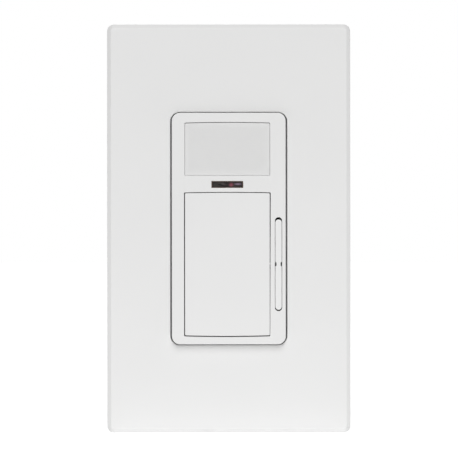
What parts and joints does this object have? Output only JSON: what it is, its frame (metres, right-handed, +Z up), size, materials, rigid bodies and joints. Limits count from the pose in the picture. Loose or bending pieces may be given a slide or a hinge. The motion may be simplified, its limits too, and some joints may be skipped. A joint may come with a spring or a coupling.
{
  "type": "in-wall dimmer switch",
  "caption": "White in-wall motion-sensor dimmer with a screwless wallplate, a hinged on/off paddle and a dim/bright rocker bar.",
  "frame": {"origin": "the middle of the device on the wall's surface, where the strap's ears rest", "axes": "+Z up, +X to the right as seen from the room, +Y into the wall"},
  "size_m": [0.0698, 0.0396, 0.1172],
  "materials": {
    "white_plastic": "white moulded plastic, very fine satin texture",
    "paddle_plastic": "white moulded plastic, smooth satin",
    "plunger_plastic": "off-white nylon",
    "carrier_plastic": "grey moulded plastic",
    "lens_plastic": "milky translucent lens film",
    "smoked_window": "dark smoked window, glossy",
    "clear_plastic": "clear moulded plastic",
    "lamp": "small red lamp package",
    "aluminium": "stamped aluminium, brushed",
    "zinc_steel": "bright zinc-plated steel",
    "green_screw": "green ground screw",
    "housing_plastic": "black moulded housing, fine texture",
    "black_plastic": "black moulded plastic",
    "circuit_board": "green solder mask",
    "insulator": "vulcanised fibre sheet",
    "relay_case": "blue relay case",
    "film_capacitor_case": "yellow film capacitor case",
    "capacitor_sleeve": "dark sleeve",
    "copper_winding": "enamelled copper wire",
    "ferrite": "dark ferrite and tape",
    "brass": "plain brass"
  },
  "bodies": {
    "dimmer": {"wallplate_cover": "white_plastic", "wallplate_subplate": "white_plastic", "face_frame": "white_plastic", "switch_carrier": "carrier_plastic", "sensor_lens": "lens_plastic", "indicator_window": "smoked_window", "motion_sensor_filter": "smoked_window", "light_pipe": "clear_plastic", "light_sensor": "clear_plastic", "fuse": "clear_plastic", "status_lamp": "lamp", "mounting_strap": "aluminium", "motion_sensor": "zinc_steel", "transistor_clip": "zinc_steel", "paddle_hinge_pin": "zinc_steel", "bar_pivot_pin": "zinc_steel", "paddle_return_spring": "zinc_steel", "subplate_screw_top": "zinc_steel", "subplate_screw_bottom": "zinc_steel", "mounting_screw_top": "zinc_steel", "mounting_screw_bottom": "zinc_steel", "ground_screw": "green_screw", "back_housing": "housing_plastic", "paddle_switch_body": "black_plastic", "bar_upper_switch_body": "black_plastic", "bar_lower_switch_body": "black_plastic", "sensor_shroud": "black_plastic", "microcontroller": "black_plastic", "board_connector": "black_plastic", "power_transistor_upper": "black_plastic", "power_transistor_lower": "black_plastic", "control_board": "circuit_board", "power_board": "circuit_board", "insulator_sheet": "insulator", "relay": "relay_case", "film_capacitor": "film_capacitor_case", "electrolytic_capacitor": "capacitor_sleeve", "toroid_choke": "copper_winding", "transformer": "ferrite", "housing_screw_left_top": "zinc_steel", "terminal_plate_left_top": "brass", "terminal_screw_left_top": "brass", "housing_screw_left_bottom": "zinc_steel", "terminal_plate_left_bottom": "brass", "terminal_screw_left_bottom": "brass", "housing_screw_right_top": "zinc_steel", "terminal_plate_right_top": "brass", "terminal_screw_right_top": "brass", "housing_screw_right_bottom": "zinc_steel", "terminal_plate_right_bottom": "brass", "terminal_screw_right_bottom": "brass"},
    "paddle": {"paddle": "paddle_plastic"},
    "paddle_plunger": {"paddle_switch_plunger": "plunger_plastic"},
    "dimmer_bar": {"dimmer_bar": "paddle_plastic"},
    "bar_upper_plunger": {"bar_upper_switch_plunger": "plunger_plastic"},
    "bar_lower_plunger": {"bar_lower_switch_plunger": "plunger_plastic"}
  },
  "joints": [
    {"name": "paddle_hinge", "type": "hinge", "parent": "dimmer", "child": "paddle", "pos_m": [-0.0004, -0.0043, 0.0086], "axis": [1, 0, 0], "range_deg": [0, 1.2], "stiffness_Nm_per_rad": 1.6, "springref_deg": -1.72, "deforming": ["paddle_return_spring"]},
    {"name": "paddle_plunger_slide", "type": "slide", "parent": "dimmer", "child": "paddle_plunger", "axis": [0, 1, 0], "range_m": [0, 0.0006]},
    {"name": "bar_pivot", "type": "hinge", "parent": "dimmer", "child": "dimmer_bar", "pos_m": [0.01424, -0.0036, -0.0102], "axis": [1, 0, 0], "range_deg": [-2, 2], "stiffness_Nm_per_rad": 0.5},
    {"name": "bar_upper_plunger_slide", "type": "slide", "parent": "dimmer", "child": "bar_upper_plunger", "axis": [0, 1, 0], "range_m": [-0.00036, 0.00036]},
    {"name": "bar_lower_plunger_slide", "type": "slide", "parent": "dimmer", "child": "bar_lower_plunger", "axis": [0, 1, 0], "range_m": [-0.00036, 0.00036]}
  ],
  "couplings": [
    {"joint": "paddle_plunger_slide", "follows": "paddle_hinge", "m_per_rad": 0.028},
    {"joint": "bar_upper_plunger_slide", "follows": "bar_pivot", "m_per_rad": -0.01},
    {"joint": "bar_lower_plunger_slide", "follows": "bar_pivot", "m_per_rad": 0.01}
  ]
}
